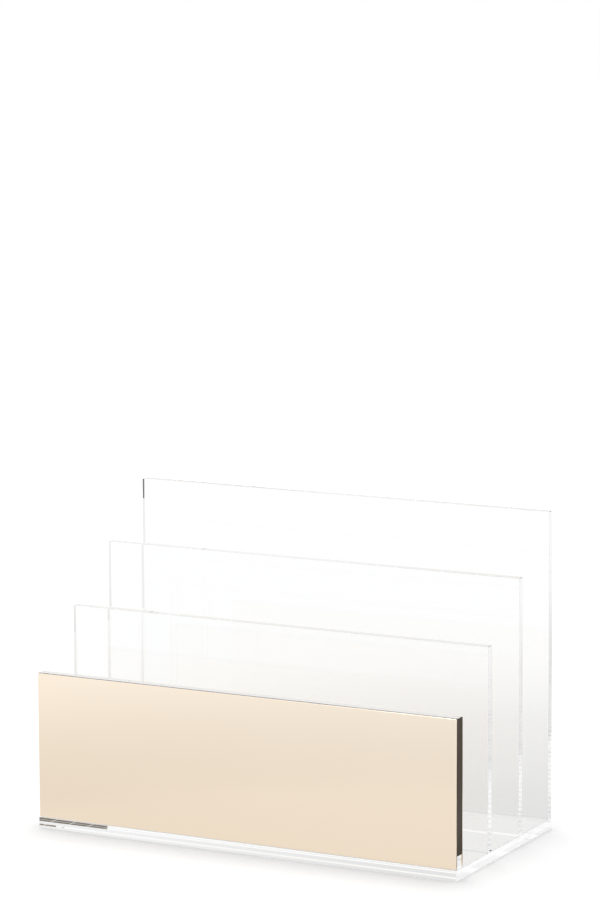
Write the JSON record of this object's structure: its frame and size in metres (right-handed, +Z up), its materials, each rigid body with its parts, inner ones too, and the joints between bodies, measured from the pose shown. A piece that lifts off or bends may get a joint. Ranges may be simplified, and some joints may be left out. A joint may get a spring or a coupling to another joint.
{
  "type": "desktop file holder",
  "caption": "Upright letter and file sorter: clear acrylic base with stepped clear dividers and a low front panel faced with polished gold-tone metal, with dark brown bands over its ends.",
  "frame": {"origin": "middle of the base plate's underside, on the surface that the holder stands on", "axes": "+X along the panels towards the right as seen from the metal-faced front, +Y from the front to the back, +Z up"},
  "size_m": [0.254, 0.123, 0.1777],
  "materials": {
    "clear_acrylic": "polished",
    "gold_tone_metal": "polished",
    "adhesive_film": "matte",
    "brown_band": "satin"
  },
  "bodies": {
    "root": {"base_plate": "clear_acrylic", "front_panel": "clear_acrylic", "front_metal_plate": "gold_tone_metal", "rear_metal_plate": "gold_tone_metal", "front_adhesive_film": "adhesive_film", "rear_adhesive_film": "adhesive_film", "left_edge_band": "brown_band", "right_edge_band": "brown_band", "low_divider": "clear_acrylic", "middle_divider": "clear_acrylic", "tall_divider": "clear_acrylic"}
  },
  "joints": []
}
